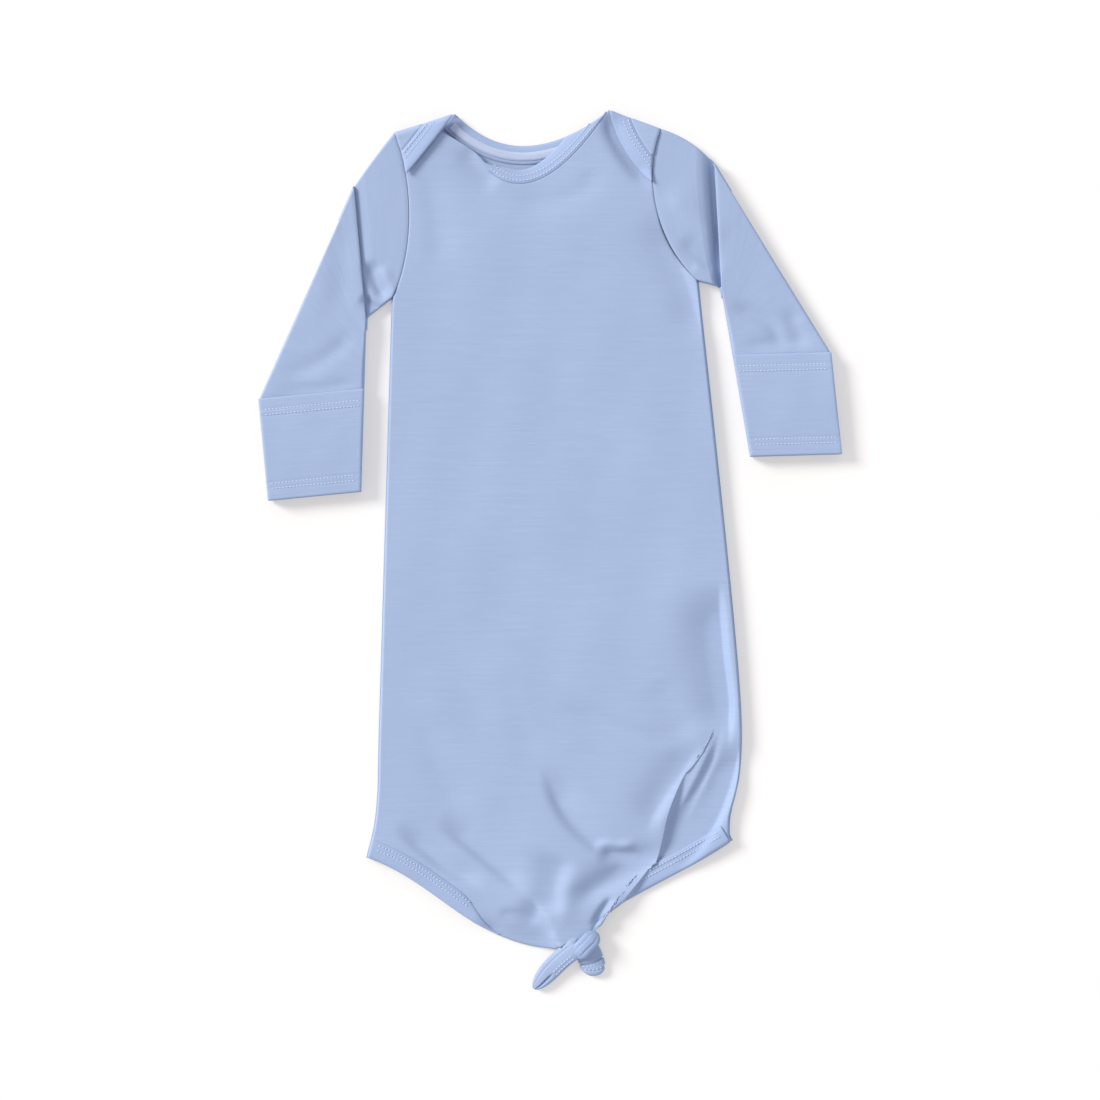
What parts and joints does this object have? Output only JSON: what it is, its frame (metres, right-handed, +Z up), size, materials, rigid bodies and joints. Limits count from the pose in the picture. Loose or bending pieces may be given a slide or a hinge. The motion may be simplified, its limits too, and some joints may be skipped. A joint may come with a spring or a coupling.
{
  "type": "infant knotted sleeping gown",
  "caption": "Long-sleeved jersey baby gown laid flat, with lapped shoulders, bound neck, fold-over mitten cuffs and a hem tied in a knot.",
  "frame": {"origin": "on the floor under the middle of the gown's outline", "axes": "+Y towards the neck, +X towards the wearer's left, +Z up through the front"},
  "size_m": [0.4, 0.607, 0.0177],
  "materials": {
    "jersey": "fine slub viscose jersey, matt with a slight sheen",
    "band_jersey": "folded jersey binding, matt",
    "thread": "polyester sewing thread in two rows of cover stitch",
    "neck_tape": "dense looper thread and tape over the back neck seam"
  },
  "bodies": {
    "gown": {"back_panel": "jersey", "front_panel": "jersey", "back_neck_band": "band_jersey", "front_neck_band": "band_jersey", "back_neck_tape": "neck_tape", "front_neck_stitching": "thread", "right_lap_stitching": "thread", "right_side_seam": "jersey", "right_armhole_seam": "jersey", "right_sleeve_cap": "jersey", "right_front_hem_band": "band_jersey", "right_back_hem_band": "band_jersey", "right_hem_stitching": "thread", "left_lap_stitching": "thread", "left_side_seam": "jersey", "left_armhole_seam": "jersey", "left_sleeve_cap": "jersey", "left_front_hem_band": "band_jersey", "left_back_hem_band": "band_jersey", "left_hem_stitching": "thread", "knot": "jersey", "knot_wrap": "band_jersey"},
    "right_arm": {"right_sleeve": "jersey"},
    "right_mitten": {"right_mitten_flap": "jersey", "right_mitten_cuff_stitching": "thread", "right_mitten_opening_stitching": "thread"},
    "left_arm": {"left_sleeve": "jersey"},
    "left_mitten": {"left_mitten_flap": "jersey", "left_mitten_cuff_stitching": "thread", "left_mitten_opening_stitching": "thread"},
    "long_end": {"long_tail": "jersey"},
    "short_end": {"short_tail": "jersey"}
  },
  "joints": [
    {"name": "right_sleeve_fold", "type": "hinge", "parent": "gown", "child": "right_arm", "pos_m": [-0.13164, 0.20508, 0.0112], "axis": [-0.0906, 0.9959, 0], "range_deg": [0, 175]},
    {"name": "left_sleeve_fold", "type": "hinge", "parent": "gown", "child": "left_arm", "pos_m": [0.11449, 0.22368, 0.0112], "axis": [0.0558, -0.9984, 0], "range_deg": [0, 175]},
    {"name": "right_mitten_flip", "type": "hinge", "parent": "right_arm", "child": "right_mitten", "pos_m": [-0.16236, 0.0368, 0.00975], "axis": [0.9952, 0.0976, 0], "range_deg": [0, 178]},
    {"name": "left_mitten_flip", "type": "hinge", "parent": "left_arm", "child": "left_mitten", "pos_m": [0.16851, 0.0649, 0.00975], "axis": [0.9996, 0.0279, 0], "range_deg": [0, 178]},
    {"name": "long_tail_lift", "type": "hinge", "parent": "gown", "child": "long_end", "pos_m": [0.00753, -0.28229, 0.0045], "axis": [-0.766, 0.6428, 0], "range_deg": [0, 80]},
    {"name": "short_tail_lift", "type": "hinge", "parent": "gown", "child": "short_end", "pos_m": [0.02728, -0.28065, 0.0045], "axis": [-0.6293, -0.7771, 0], "range_deg": [0, 80]}
  ]
}
